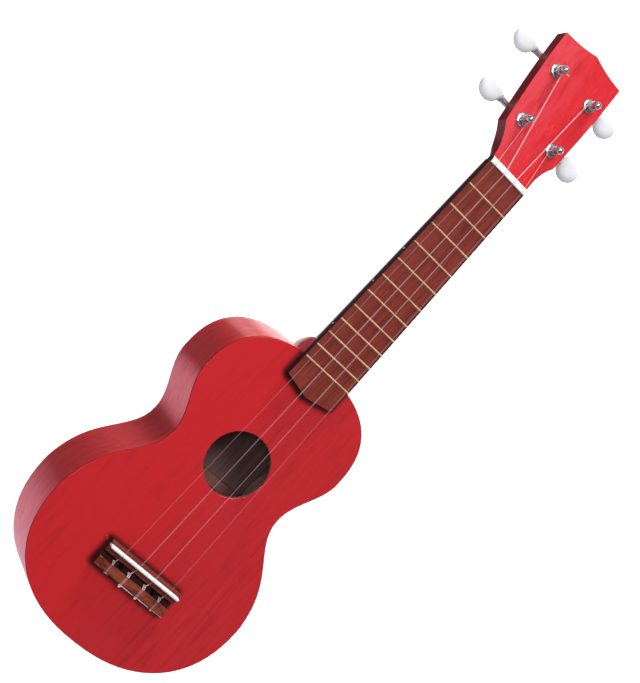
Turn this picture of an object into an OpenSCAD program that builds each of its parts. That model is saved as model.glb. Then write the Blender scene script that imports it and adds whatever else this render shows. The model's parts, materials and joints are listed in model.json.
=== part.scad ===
// Soprano ukulele lying on its back.
// X runs across it to the treble side, Y along it to the head, Z up out of the soundboard.
// The origin is on the flat outer face of the back, half way along the sound box.

/* [Sound box] */
// Length of the sound box
body_len = 239; // [225:1:255]
// Widest place of the upper bout
upper_w = 125.6; // [118:0.2:134]
// Narrowest place of the waist
waist_w = 96.6; // [90:0.2:106]
// Widest place of the lower bout
lower_w = 162; // [150:0.5:174]
// Depth over both plates
depth = 58; // [52:0.5:66]
// Thickness of the soundboard and of the back
plate_t = 2.8; // [2.2:0.1:3.2]
// Thickness of the ribs
rib_t = 2.4; // [1.8:0.1:3]
// Diameter of the sound hole
hole_d = 45; // [40:0.5:50]

/* [Inside] */
// Width of a lining strip
lining_w = 6; // [5:0.5:7]
// Height of a lining strip
lining_h = 10; // [8:0.5:12]
// Width of a brace
brace_w = 7.5; // [6:0.5:9]
// Height of a brace
brace_h = 9; // [7:0.5:11]
// Length of the neck block along Y
block_len = 22; // [16:1:28]
// Width of the tail block
tail_w = 36; // [28:1:44]

/* [Neck] */
// String length from the nut to the saddle
scale_len = 345; // [335:1:355]
// Fretboard width at the nut
board_w0 = 34.2; // [33:0.2:36]
// Fretboard width where the neck meets the sound box
board_w1 = 40.5; // [39:0.5:43]
// Fretboard thickness
board_t = 6; // [5:0.25:7]
// Neck depth below the fretboard at the nut
neck_d0 = 12.5; // [11:0.5:14]
// Neck depth below the fretboard near the heel
neck_d1 = 14.5; // [13:0.5:16]
// Length of the heel along the neck
heel_len = 12.5; // [10:0.5:18]
// Depth of the heel below the soundboard
heel_d = 47; // [42:0.5:52]
// How far the neck and the fretboard are set to the treble side
neck_off = 1.3; // [0:0.1:2]
// Thickness of the nut
nut_t = 4.4; // [4:0.1:5.5]

/* [Head] */
// Backward tilt of the head
head_tilt = 11.9; // [9:0.1:14]
// Thickness of the head
head_t = 11; // [10:0.5:12]
// Length of the head from the nut to the point of its crown
head_len = 106.5; // [103:0.5:112]
// Width of the head under its crown
head_w = 56.4; // [54:0.2:60]
// Distance of the lower posts from the nut
post_s0 = 36.5; // [35.5:0.25:38.5]
// Distance between lower and upper posts
post_ds = 41.5; // [39:0.5:43]
// Spread of the lower posts
post_w0 = 30; // [28.5:0.25:31]
// Spread of the upper posts
post_w1 = 34; // [32:0.5:36]

/* [Tuners] */
// Teeth of the worm wheel
teeth = 14; // [13:1:15]
// Pitch of the worm thread
worm_p = 1.75; // [1.65:0.05:1.8]
// Diameter of the string post in its bushing
post_d = 5; // [4.6:0.1:5.2]
// Height of the string post above the head
post_h = 12.5; // [11.5:0.25:13.5]
// Diameter of the round button
button_d = 17.6; // [15:0.2:19]
// Thickness of the button
button_t = 7.6; // [6:0.2:9]
// Distance from the post to the middle of the button
button_u = 25; // [24:0.25:27]

/* [Bridge and strings] */
// Length of the bridge across the soundboard
bridge_w = 60.6; // [58:0.2:66]
// Height of the bridge
bridge_h = 6.5; // [6:0.25:8]
// Length of the saddle
saddle_w = 59.5; // [58:0.5:64]
// Height of the saddle's crest above the soundboard
saddle_h = 10.4; // [9.5:0.1:11.5]
// String spacing at the nut
nut_pitch = 9; // [8.5:0.1:9.5]
// String spacing at the saddle
saddle_pitch = 13.6; // [12.5:0.1:14]
// Turns of string on each post
wind_turns = 2.4; // [1.5:0.1:2.6]

/* [Hidden] */
$fn = 36;
wood = [0.76, 0.16, 0.19];
pale = [0.80, 0.66, 0.48];
brown = [0.45, 0.22, 0.18];
steel = [0.80, 0.80, 0.82];
white = [0.94, 0.94, 0.92];

// Outline of the sound box: four curves on each side of the centre line.
wu = upper_w / 2;
ww = waist_w / 2;
wl = lower_w / 2;
yt = body_len / 2;
yb = -body_len / 2;
yu = 0.292 * body_len;
yw = 0.1067 * body_len;
yl = -0.203 * body_len;
nt = 2.55;
nb = 2.29;
flank = 1.38;
flat_x = board_w1 / 2 + 0.6;
joint_y = yu + (yt - yu) * pow(1 - pow(flat_x / wu, nt), 1 / nt);
flat_a = acos(pow(flat_x / wu, nt / 2));
function swell(t) = (1 - cos(180 * t)) / 2;
function hip(t) = swell(t + flank * pow(t * (1 - t), 2));
function top_pt(a) = [wu * pow(cos(a), 2 / nt), yu + (yt - yu) * pow(sin(a), 2 / nt)];
function low_pt(a) = [wl * pow(cos(a), 2 / nb), yl + (yb - yl) * pow(sin(a), 2 / nb)];
half = concat(
    [[0, joint_y], [flat_x, joint_y]],
    [for (i = [1:14]) top_pt(flat_a * (1 - i / 14))],
    [for (i = [1:14]) let (t = 1 - i / 14) [ww + (wu - ww) * swell(t), yw + (yu - yw) * t]],
    [for (i = [1:16]) let (t = i / 16) [ww + (wl - ww) * hip(t), yw + (yl - yw) * t]],
    [for (i = [1:19]) low_pt(90 * i / 20)],
    [[0, yb]]
);
last = len(half) - 1;
function along(i) = i == 0 ? [1, 0] : i == last ? [-1, 0] : half[i + 1] - half[i - 1];
function outward(i) = let (t = along(i) / norm(along(i))) [-t.y, t.x];
function inset(d) = [for (i = [0:last]) half[i] - d * outward(i)];
function flip(p) = [for (i = [len(p) - 1:-1:0]) [-p[i].x, p[i].y]];
function turn(p) = [for (i = [len(p) - 1:-1:0]) p[i]];
function ring(d) = let (p = inset(d)) concat(p, [for (q = flip(p)) if (abs(q.x) > 0.001) q]);
function half_w(y) = y > yu ? wu * pow(max(0, 1 - pow((y - yu) / (yt - yu), nt)), 1 / nt)
    : y > yw ? ww + (wu - ww) * swell((y - yw) / (yu - yw))
    : y > yl ? ww + (wl - ww) * hip((y - yw) / (yl - yw))
    : wl * pow(max(0, 1 - pow((y - yl) / (yb - yl), nb)), 1 / nb);

// Places along the strings.
hole_y = 0.149 * body_len;
nut_y = joint_y + scale_len / 2;
saddle_y = nut_y - scale_len - 0.8;
board_end = joint_y - 16.3;
board_tip = joint_y - 20.8;
board_z = depth + board_t;
fret_h = 1;
function board_hw(y) = (board_w0 + (board_w1 - board_w0) * (nut_y - y) / (nut_y - joint_y)) / 2;
function fret_y(k) = nut_y - scale_len * (1 - pow(2, -k / 12));

// The head's own axes: s runs up its face from the nut, n stands on its face.
head_rise = 5.1;
head_s0 = nut_t / cos(head_tilt);
shoulder_s = 28.5;
shoulder_x = head_w / 2 - 4;
crown_s = head_len - 4.2;
corner_r = 0.9;
function to_head(x, s, n) = [
    x,
    nut_y + s * cos(head_tilt) + n * sin(head_tilt),
    depth + head_rise - s * sin(head_tilt) + n * cos(head_tilt)
];
function from_head(p) = let (y = p.y - nut_y, z = p.z - depth - head_rise) [
    p.x,
    y * cos(head_tilt) - z * sin(head_tilt),
    y * sin(head_tilt) + z * cos(head_tilt)
];
module on_head() translate([0, nut_y, depth + head_rise]) rotate([-head_tilt, 0, 0]) children();

// Tuners in the order g, c, e, a; u runs outward from the post, w down from the head's back is negative.
post_x = [-post_w0 / 2, -post_w1 / 2, post_w1 / 2, post_w0 / 2];
post_s = [post_s0, post_s0 + post_ds, post_s0 + post_ds, post_s0];
module at_tuner(i) on_head() translate([post_x[i], post_s[i], -head_t])
    mirror([i < 2 ? 1 : 0, 0, 0]) children();
gear_r = teeth * worm_p / (2 * PI);
gear_tip = gear_r + 0.5;
gear_root = gear_r - 0.65;
gear_t = 2.8;
gear_w = -4.4;
worm_v = gear_r + 2.1;
worm_tip = worm_v - gear_root - 0.25;
worm_root = worm_v - gear_tip - 0.2;
plate_in = 1;
ear_in = gear_tip + 0.8;
ear_t = 1.6;
run = 0.05;
bush_r = post_d / 2 + 1.4;
bush_len = 7;
waist_r = 2.2;

// Strings in the order g, c, e, a.
str_d = [0.62, 0.90, 0.80, 0.62];
str_off = 0.5;
function nut_x(i) = (i - 1.5) * nut_pitch + neck_off + str_off;
function saddle_x(i) = (i - 1.5) * saddle_pitch + str_off;
nut_z = board_z + fret_h + 0.35;
saddle_z = depth + saddle_h;
saddle_t = 2.3;
lip_y = saddle_y - saddle_t / 2 - 3.55;
tie_y = lip_y - 4.6;
tail_y = tie_y - 6.6;
front_y = saddle_y + saddle_t / 2 + 2.65;
tie_z = depth + bridge_h;
floor_z = depth + 3;
bore_z = floor_z + 1.2;

// Tube of radius r along the points p, six-sided, with frames carried along without twist.
function unit(v) = v / norm(v);
function side_of(t) = unit(cross(t, abs(t.z) < 0.9 ? [0, 0, 1] : [1, 0, 0]));
function run_dir(p, i) = unit(p[min(i + 1, len(p) - 1)] - p[max(i - 1, 0)]);
function frames(p) = [
    for (i = 0, n = side_of(run_dir(p, 0)); i < len(p);
        i = i + 1, n = i < len(p) ? let (t = run_dir(p, i)) unit(n - (n * t) * t) : n) n
];
module tube(p, r, k = 6) {
    f = frames(p);
    m = len(p);
    pts = [for (i = [0:m - 1]) let (t = run_dir(p, i), b = cross(t, f[i]))
        for (j = [0:k - 1]) p[i] + r * (cos(360 * j / k) * f[i] + sin(360 * j / k) * b)];
    skin = [for (i = [0:m - 2]) for (j = [0:k - 1])
        let (a = i * k + j, b = i * k + (j + 1) % k)
        for (q = [[a, a + k, b], [b, a + k, b + k]]) q];
    cap0 = [for (j = [1:k - 2]) [0, j, j + 1]];
    cap1 = [for (j = [1:k - 2]) let (e = (m - 1) * k) [e, e + j + 1, e + j]];
    polyhedron(points = pts, faces = concat(skin, cap0, cap1), convexity = 8);
}
// Corner of a route eased over the distance e on both sides.
function eased(a, p, b, e, k = 4) = let (q0 = p + e * unit(a - p), q1 = p + e * unit(b - p))
    [for (i = [0:k]) let (t = i / k) (1 - t) * (1 - t) * q0 + 2 * t * (1 - t) * p + t * t * q1];
function route(c, e) = concat(
    [c[0]],
    [for (i = [1:len(c) - 2]) each eased(c[i - 1], c[i], c[i + 1], e[i])],
    [c[len(c) - 1]]
);

module plate(z) translate([0, 0, z]) linear_extrude(plate_t) polygon(ring(0));

module soundboard() color(wood) difference() {
    plate(depth - plate_t);
    translate([0, hole_y, depth - plate_t - 1]) cylinder(d = hole_d, h = plate_t + 2, $fn = 96);
    for (x = bolt_x) translate([x, bolt_y, depth - plate_t - 1]) cylinder(r = bolt_r, h = plate_t + 2);
}

module back_plate() color(wood) plate(0);

module rib() translate([0, 0, plate_t]) linear_extrude(depth - 2 * plate_t)
    polygon(concat(half, turn(inset(rib_t))));

module rib_treble() color(wood) rib();

module rib_bass() color(wood) mirror([1, 0, 0]) rib();

module neck_block() color(pale) translate([-flat_x + 2, joint_y - rib_t - block_len, plate_t])
    cube([2 * flat_x - 4, block_len, depth - 2 * plate_t]);

tail_block_len = 18;
module tail_block() color(pale) translate([0, 0, plate_t]) linear_extrude(depth - 2 * plate_t) {
    p = [for (q = inset(rib_t)) if (q.y < 0 && q.x < tail_w / 2) q];
    inner_y = p[0].y + tail_block_len;
    polygon(concat([[p[0].x, inner_y]], p, [for (q = flip(p)) if (q.x < -0.001) q], [[-p[0].x, inner_y]]));
}

module lining(z) translate([0, 0, z]) linear_extrude(lining_h) {
    a = inset(rib_t);
    b = inset(rib_t + lining_w);
    keep = [for (i = [1:last]) if (a[i].y > 0 || b[i].x > tail_w / 2 + 0.5) i];
    polygon(concat([for (i = keep) a[i]], turn([for (i = keep) b[i]])));
}

module lining_top_treble() color(pale) lining(depth - plate_t - lining_h);

module lining_top_bass() color(pale) mirror([1, 0, 0]) lining(depth - plate_t - lining_h);

module lining_back_treble() color(pale) lining(plate_t);

module lining_back_bass() color(pale) mirror([1, 0, 0]) lining(plate_t);

// Bar across the sound box at y, standing on z = 0, its ends thinned.
module brace(y) {
    clear = rib_t + lining_w + 1.6;
    l = min(half_w(y - brace_w / 2), half_w(y + brace_w / 2)) - clear;
    translate([0, y + brace_w / 2, 0]) rotate([90, 0, 0]) linear_extrude(brace_w)
        polygon([[-l, 0], [l, 0], [l, 2.5], [l - 18, brace_h], [18 - l, brace_h], [-l, 2.5]]);
}

brace_up_y = hole_y + hole_d / 2 + 9;
brace_low_y = hole_y - hole_d / 2 - 9;

module brace_top_upper() color(pale) translate([0, 0, depth - plate_t])
    mirror([0, 0, 1]) brace(brace_up_y);

module brace_top_lower() color(pale) translate([0, 0, depth - plate_t])
    mirror([0, 0, 1]) brace(brace_low_y);

module brace_back_waist() color(pale) translate([0, 0, plate_t]) brace(yw - 11.9);

module brace_back_lower() color(pale) translate([0, 0, plate_t]) brace(yl - 12);

patch_t = 2;
patch_over = 8;
module bridge_patch() color(pale) difference() {
    translate([-bridge_w / 2 - patch_over, tail_y - 2, depth - plate_t - patch_t])
        cube([bridge_w + 2 * patch_over, front_y - tail_y + 4, patch_t]);
    for (x = bolt_x) translate([x, bolt_y, depth - plate_t - patch_t - 1])
        cylinder(r = bolt_r, h = patch_t + 2);
}

// Neck: half round sections from the heel's foot to the nut, growing square through the throat of the head.
neck_k = 16;
heel_fill = 2.6;
heel_drop = heel_d - neck_d1 - heel_fill;
sunk = 0.02;
function blend(t) = let (c = max(0, min(1, t))) c * c * (3 - 2 * c);
function neck_plain(y) = neck_d1 + (neck_d0 - neck_d1) * (y - joint_y) / (nut_y - joint_y);
function neck_depth(y) = let (u = (y - joint_y) / heel_len)
    u < 1 ? neck_d1 + heel_fill + heel_drop * sqrt(1 - u * u)
        : neck_plain(y) + heel_fill * exp(-(u - 1) * heel_len / 3.5);
function neck_n(y) = 2 + 0.7 * (neck_depth(y) - neck_plain(y)) / (heel_d - neck_d1);
neck_at = concat(
    [for (u = [0, 0.3, 0.5, 0.66, 0.79, 0.89, 0.96, 0.995]) joint_y + u * heel_len],
    [for (d = [1.5, 3.5, 6, 10, 16]) joint_y + heel_len + d],
    [for (t = [1:7]) joint_y + heel_len + 16 + (nut_y - joint_y - heel_len - 16) * t / 7]
);
throat_x = board_w0 / 2 - 0.3;
throat_d = (neck_d0 + head_rise) * cos(head_tilt);
throat_end = shoulder_s - 0.1;
throat_at = [4, 6, 8.5, 11, 14, 17, 20.5, 24, throat_end];
function throat_t(s) = max(0, (s - head_s0) / (shoulder_s - head_s0));
function throat_off(s) = neck_off * blend(1 - throat_t(s));
function throat_hw(s) = throat_x + (shoulder_x - throat_x) * pow(throat_t(s), 2.2);
function throat_depth(s) = throat_d + (head_t - sunk - throat_d) * blend(s / (shoulder_s - 4));
function throat_n(s) = 2 + 60 * pow(s / shoulder_s, 3.2);
module neck_bar() {
    m = len(neck_at) + len(throat_at);
    c = neck_k + 1;
    pts = concat(
        [for (y = neck_at) for (j = [0:neck_k]) let (a = 180 * j / neck_k, e = 2 / neck_n(y))
            [
                neck_off + board_hw(y) * sign(cos(a)) * pow(abs(cos(a)), e), y,
                depth - neck_depth(y) * pow(abs(sin(a)), e)
            ]],
        [for (s = throat_at) for (j = [0:neck_k]) let (a = 180 * j / neck_k, e = 2 / throat_n(s))
            to_head(
                throat_off(s) + throat_hw(s) * sign(cos(a)) * pow(abs(cos(a)), e), s,
                -sunk - throat_depth(s) * pow(abs(sin(a)), e)
            )]
    );
    skin = [for (i = [0:m - 2]) for (j = [0:neck_k])
        let (a = i * c + j, b = i * c + (j + 1) % c)
        for (q = [[a, a + c, b], [b, a + c, b + c]]) q];
    cap0 = [for (j = [1:c - 2]) [0, j, j + 1]];
    cap1 = [for (j = [1:c - 2]) let (e = (m - 1) * c) [e, e + j + 1, e + j]];
    polyhedron(points = pts, faces = concat(skin, cap0, cap1), convexity = 4);
}

// Half of the head's outline above the throat: flared side, rounded corner, hollow run to the point.
head_half = concat(
    [[throat_hw(shoulder_s - 3) - 0.5, shoulder_s - 3]],
    [for (t = [0.006:0.142:1]) [
        shoulder_x + (head_w / 2 - shoulder_x) * sin(90 * t),
        shoulder_s + (crown_s - corner_r - shoulder_s) * t
    ]],
    [for (a = [0:30:90]) [head_w / 2 - corner_r * (1 - cos(a)), crown_s - corner_r * (1 - sin(a))]],
    [for (t = [0.125:0.125:1]) [
        (head_w / 2 - corner_r) * (1 - t),
        crown_s + (head_len - crown_s) * pow(t, 1.9)
    ]]
);

module neck() color(wood) difference() {
    union() {
        neck_bar();
        on_head() translate([0, 0, -head_t]) linear_extrude(head_t)
            polygon(concat(head_half, [for (q = flip(head_half)) if (q.x < -0.001) q]));
    }
    translate([-board_w0, nut_y - 0.001, depth]) cube([2 * board_w0, nut_t + 0.001, 20]);
    for (i = [0:3]) at_tuner(i) {
        translate([0, 0, -1]) cylinder(d = post_d + 1, h = head_t + 2);
        translate([0, 0, head_t - bush_len - 0.2]) cylinder(r = bush_r, h = bush_len + 1);
        for (v = screw_v) translate([0, v, -0.5]) cylinder(r = 0.9, h = 7);
    }
}

slot_w = 0.6;
module fretboard() color(brown) translate([neck_off, 0, 0]) difference() {
    translate([0, 0, depth]) linear_extrude(board_t) polygon([
        [board_w0 / 2, nut_y], [-board_w0 / 2, nut_y],
        [-board_hw(board_end), board_end], [0, board_tip], [board_hw(board_end), board_end]
    ]);
    for (k = [1:12]) translate([-40, fret_y(k) - slot_w / 2, board_z - 2]) cube([80, slot_w, 3]);
    for (k = dot_at) translate([-dot_x(k) - 2, dot_y(k), dot_z])
        rotate([0, 90, 0]) cylinder(d = dot_d, h = 4, $fn = 20);
}

fret_w = 1.3;
module frets() color([0.80, 0.62, 0.38]) translate([neck_off, 0, 0]) for (k = [1:12]) {
    l = 2 * board_hw(fret_y(k)) - 0.4;
    translate([-l / 2, fret_y(k), board_z]) rotate([90, 0, 90]) linear_extrude(l) polygon(concat(
        [[0.02 - slot_w / 2, 0], [0.02 - slot_w / 2, -1.6]],
        [[slot_w / 2 - 0.02, -1.6], [slot_w / 2 - 0.02, 0]],
        [for (a = [0:30:180]) [fret_w / 2 * cos(a), 0.12 + (fret_h - 0.12) * sin(a)]],
        [[-fret_w / 2, 0]]
    ));
}

dot_at = [5, 7, 10];
dot_d = 1.4;
dot_z = depth + 0.3 * board_t;
function dot_y(k) = (fret_y(k) + fret_y(k - 1)) / 2;
function dot_x(k) = board_hw(dot_y(k));
module side_dots() color(white) for (k = dot_at) translate([neck_off - dot_x(k), dot_y(k), dot_z])
    rotate([0, 90, 0]) cylinder(d = dot_d - 0.04, h = 1.98, $fn = 20);

nut_top = nut_z + 0.25;
nut_bend = 1.4;
module nut() color(white) difference() {
    translate([neck_off - board_w0 / 2, nut_y, depth]) rotate([90, 0, 90]) linear_extrude(board_w0) polygon([
        [0, 0], [nut_t, 0], [nut_t, nut_top - depth - 1.6], [nut_t - 0.8, nut_top - depth - 0.8],
        [nut_t - 2.4, nut_top - depth - 0.1], [nut_t - 3.4, nut_top - depth], [0.3, nut_top - depth],
        [0, nut_top - depth - 0.3]
    ]);
    for (i = [0:3]) nut_slot(i);
}

// String slot: level to the bend of the string, then falling toward the head.
module nut_slot(i) {
    w = str_d[i] + 0.3;
    fall = (nut_t + 1 - nut_bend) * tan(head_tilt + 1.5);
    translate([nut_x(i) - w / 2, nut_y, nut_z - 0.02]) rotate([90, 0, 90]) linear_extrude(w)
        polygon([[-1, 0], [nut_bend, 0], [nut_t + 1, -fall], [nut_t + 1, 5], [-1, 5]]);
}

bolt_x = [str_off - 0.98 * saddle_pitch, str_off + 1.11 * saddle_pitch];
bolt_y = (lip_y + tie_y) / 2;
bolt_r = 1.25;
module bridge() color(brown) difference() {
    translate([-bridge_w / 2, 0, depth]) rotate([90, 0, 90]) linear_extrude(bridge_w) polygon([
        [tail_y, 0], [front_y, 0], [front_y, bridge_h - 1.8], [front_y - 1.4, bridge_h - 0.3],
        [front_y - 1.9, bridge_h - 0.2], [lip_y + 0.5, bridge_h - 0.2], [lip_y, bridge_h - 0.7],
        [lip_y, floor_z - depth], [tie_y, floor_z - depth], [tie_y, bridge_h - 0.5], [tie_y - 0.5, bridge_h],
        [tail_y + 0.5, bridge_h], [tail_y, bridge_h - 0.5]
    ]);
    translate([-bridge_w, saddle_y - saddle_t / 2 - 0.02, floor_z])
        cube([2 * bridge_w, saddle_t + 0.04, bridge_h]);
    for (i = [0:3]) translate([saddle_x(i), tie_y + 1, bore_z])
        rotate([90, 0, 0]) cylinder(d = 1.5, h = tie_y - tail_y + 2.4, $fn = 16);
    for (x = bolt_x) translate([x, bolt_y, depth - 1]) cylinder(r = bolt_r, h = 10);
}

module bridge_screws() color([0.12, 0.12, 0.13]) for (x = bolt_x) translate([x, bolt_y, 0]) {
    difference() {
        translate([0, 0, floor_z]) cylinder(r1 = 2.1, r2 = 1.7, h = 1.3);
        translate([-3, -0.25, floor_z + 0.9]) cube([6, 0.5, 1]);
    }
    translate([0, 0, depth - plate_t - patch_t - 2])
        cylinder(r = bolt_r - 0.03, h = plate_t + patch_t + 5.2);
}

// Saddle: round crest and round ends.
module saddle() color(white) intersection() {
    translate([-saddle_w / 2, saddle_y, 0]) rotate([90, 0, 90]) linear_extrude(saddle_w) polygon(concat(
        [[-saddle_t / 2, floor_z], [saddle_t / 2, floor_z]],
        [for (a = [0:15:180]) [saddle_t / 2 * cos(a), saddle_z - saddle_t / 2 + saddle_t / 2 * sin(a)]]
    ));
    translate([0, saddle_y, floor_z - 1]) linear_extrude(saddle_h) polygon([
        for (side = [1, -1]) for (a = [-90:15:90])
            side * [saddle_w / 2 - saddle_t / 2 + saddle_t / 2 * cos(a), (saddle_t / 2 + 0.01) * sin(a)]
    ]);
}

// Front bushing: a flanged sleeve in the head, its bore a running fit on the post.
module bushing() translate([0, 0, head_t]) rotate_extrude() polygon([
    [post_d / 2 + run, -bush_len], [bush_r - 0.03, -bush_len], [bush_r - 0.03, 0], [bush_r + 1, 0],
    [bush_r + 1, 0.7], [bush_r + 0.6, 1.3], [bush_r - 0.2, 1.5], [post_d / 2 + run, 1.5]
]);
module tuner_bushing_g() color(steel) at_tuner(0) bushing();
module tuner_bushing_c() color(steel) at_tuner(1) bushing();
module tuner_bushing_e() color(steel) at_tuner(2) bushing();
module tuner_bushing_a() color(steel) at_tuner(3) bushing();

// String post: square foot for the wheel, waist for the string, round cap with a cross hole below it.
sq = 3;
ball_r = 2.9;
ball_n = head_t + post_h - ball_r;
module post() difference() {
    union() {
        rotate_extrude() polygon(concat(
            [[0, gear_w + gear_t / 2], [3.1, gear_w + gear_t / 2], [3.1, -plate_in - 0.15],
                [post_d / 2, -plate_in - 0.15], [post_d / 2, head_t + 1.9],
                [waist_r, head_t + 2.3], [waist_r, ball_n - 2.1]],
            [for (a = [-45:15:75]) [ball_r * cos(a), ball_n + ball_r * sin(a)]],
            [[0, ball_n + ball_r]]
        ));
        translate([-sq / 2, -sq / 2, gear_w - gear_t / 2 + 0.05]) cube([sq, sq, gear_t + 0.5]);
    }
    translate([0, 0, gear_w - gear_t / 2 - 1]) cylinder(r = 0.85, h = 3.6, $fn = 20);
    translate([-5, 0, ball_n - 2.6]) rotate([0, 90, 0]) cylinder(d = 1.1, h = 10, $fn = 16);
}
module tuner_post_g() color(steel) at_tuner(0) post();
module tuner_post_c() color(steel) at_tuner(1) post();
module tuner_post_e() color(steel) at_tuner(2) post();
module tuner_post_a() color(steel) at_tuner(3) post();

// Base plate with two ears that carry the worm shaft.
plate_u = ear_in + ear_t + 0.6;
plate_v0 = -10.4;
plate_v1 = worm_v + 9.2;
screw_v = [plate_v0 + 2.6, plate_v1 - 2.6];
ear_h = 3.1;
journal_r = worm_root - 0.05;
module base_plate() difference() {
    union() {
        translate([0, 0, -plate_in]) linear_extrude(plate_in) polygon([
            [plate_u, plate_v0 + 4], [plate_u, plate_v1 - 4], [plate_u - 4, plate_v1],
            [4 - plate_u, plate_v1], [-plate_u, plate_v1 - 4], [-plate_u, plate_v0 + 4],
            [4 - plate_u, plate_v0], [plate_u - 4, plate_v0]
        ]);
        for (u = [ear_in, -ear_in - ear_t]) {
            translate([u, worm_v - ear_h, gear_w]) cube([ear_t, 2 * ear_h, -gear_w - plate_in + 0.2]);
            translate([u, worm_v, gear_w]) rotate([0, 90, 0]) cylinder(r = ear_h, h = ear_t);
        }
    }
    translate([0, 0, -2]) cylinder(d = post_d + 1, h = 4);
    translate([-plate_u, worm_v, gear_w]) rotate([0, 90, 0]) cylinder(r = journal_r + run, h = 2 * plate_u);
    for (v = screw_v) translate([0, v, -2]) cylinder(r = 1.15, h = 4);
}
module tuner_plate_g() color(steel) at_tuner(0) base_plate();
module tuner_plate_c() color(steel) at_tuner(1) base_plate();
module tuner_plate_e() color(steel) at_tuner(2) base_plate();
module tuner_plate_a() color(steel) at_tuner(3) base_plate();

// Worm shaft: thread of one start between the ears, flared collar outside, pin in the button.
worm_k = 20;
worm_n = floor((2 * ear_in - 2.2) / worm_p * worm_k);
thread_root = 0.48;
thread_tip = 0.18;
module thread() {
    pts = [for (i = [0:worm_n])
        let (
            u = worm_p * (i - worm_n / 2) / worm_k,
            lift = min(1, 0.15 + i / 8, 0.15 + (worm_n - i) / 8),
            ro = worm_root + (worm_tip - worm_root) * lift,
            ri = worm_root - 0.3,
            off = 360 * i / worm_k - 180 * worm_n / worm_k
        )
        for (q = [[-thread_root, ri], [-thread_tip, ro], [thread_tip, ro], [thread_root, ri]])
            [u + q[0] + worm_p / 2, -q[1] * cos(off), -q[1] * sin(off)]];
    skin = [for (i = [0:worm_n - 1]) for (j = [0:3])
        let (a = 4 * i + j, b = 4 * i + (j + 1) % 4)
        for (q = [[a, b, a + 4], [b, b + 4, a + 4]]) q];
    e = 4 * worm_n;
    ends = [[0, 2, 1], [0, 3, 2], [e, e + 1, e + 2], [e, e + 2, e + 3]];
    polyhedron(points = pts, faces = concat(skin, ends), convexity = 8);
}
worm_end = button_u - 2;
collar_u = button_u - button_d / 2 - 0.1;
module worm_shaft() translate([0, worm_v, gear_w]) {
    thread();
    rotate([0, 90, 0]) rotate_extrude() polygon([
        [0, -ear_in - ear_t - 0.5], [journal_r - 0.3, -ear_in - ear_t - 0.5],
        [journal_r, -ear_in - ear_t - 0.2],
        [journal_r, -ear_in + 0.12], [worm_root, -ear_in + 0.12], [worm_root, ear_in - 0.12],
        [journal_r, ear_in - 0.12], [journal_r, ear_in + ear_t + 0.15], [2.1, ear_in + ear_t + 0.15],
        [2.3, collar_u - 2.4], [2.9, collar_u - 0.9], [2.9, collar_u],
        [1.5, collar_u], [1.5, worm_end], [0, worm_end]
    ]);
}
module tuner_worm_g() color(steel) at_tuner(0) worm_shaft();
module tuner_worm_c() color(steel) at_tuner(1) worm_shaft();
module tuner_worm_e() color(steel) at_tuner(2) worm_shaft();
module tuner_worm_a() color(steel) at_tuner(3) worm_shaft();

// Round button with domed faces and a short boss toward the shaft.
module button() translate([0, worm_v, gear_w]) difference() {
    union() {
        translate([button_u, 0, 0]) rotate_extrude($fn = 48) polygon([
            for (a = [-90:15:90]) [
                button_d / 2 * pow(abs(cos(a)), 0.55) * (abs(a) == 90 ? 0 : 1),
                button_t / 2 * (a < 0 ? -1 : 1) * pow(abs(sin(a)), 0.8)
            ]
        ]);
        translate([collar_u, 0, 0]) rotate([0, 90, 0]) cylinder(r = 3, h = 6);
    }
    translate([collar_u - 1, 0, 0]) rotate([0, 90, 0]) cylinder(r = 1.53, h = worm_end - collar_u + 1.05);
}
module tuner_button_g() color(white) at_tuner(0) button();
module tuner_button_c() color(white) at_tuner(1) button();
module tuner_button_e() color(white) at_tuner(2) button();
module tuner_button_a() color(white) at_tuner(3) button();

// Worm wheel: straight teeth with play for the thread's slope, square hole for the post's foot.
tooth_root = 0.42;
tooth_tip = 0.20;
module gear() translate([0, 0, gear_w - gear_t / 2]) linear_extrude(gear_t) difference() {
    polygon([for (k = [0:teeth - 1]) let (c = 90 + 360 * k / teeth)
        for (q = [
            [gear_root, -tooth_root], [gear_tip, -tooth_tip], [gear_tip, tooth_tip], [gear_root, tooth_root]
        ])
            let (a = c + q[1] / q[0] * 180 / PI) q[0] * [cos(a), sin(a)]]);
    square(sq + 0.05, center = true);
}
module tuner_gear_g() color([0.78, 0.62, 0.30]) at_tuner(0) gear();
module tuner_gear_c() color([0.78, 0.62, 0.30]) at_tuner(1) gear();
module tuner_gear_e() color([0.78, 0.62, 0.30]) at_tuner(2) gear();
module tuner_gear_a() color([0.78, 0.62, 0.30]) at_tuner(3) gear();

// Screw that keeps the wheel on the post.
module gear_screw() translate([0, 0, gear_w - gear_t / 2]) difference() {
    union() {
        translate([0, 0, -1.2]) cylinder(r1 = 1.9, r2 = 2.3, h = 1.2);
        translate([0, 0, -0.2]) cylinder(r = 0.82, h = 2.6, $fn = 20);
    }
    translate([-3, -0.25, -1.6]) cube([6, 0.5, 0.9]);
}
module tuner_gear_screw_g() color(steel) at_tuner(0) gear_screw();
module tuner_gear_screw_c() color(steel) at_tuner(1) gear_screw();
module tuner_gear_screw_e() color(steel) at_tuner(2) gear_screw();
module tuner_gear_screw_a() color(steel) at_tuner(3) gear_screw();

module plate_screw() difference() {
    union() {
        translate([0, 0, -plate_in - 1.1]) cylinder(r1 = 1.5, r2 = 2, h = 1.1);
        translate([0, 0, -plate_in - 0.2]) cylinder(r = 0.88, h = 7, $fn = 20);
    }
    translate([-3, -0.25, -plate_in - 1.5]) cube([6, 0.5, 0.8]);
}
module tuner_screws() color(steel)
    for (i = [0:3]) at_tuner(i) for (v = screw_v) translate([0, v, 0]) plate_screw();

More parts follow.
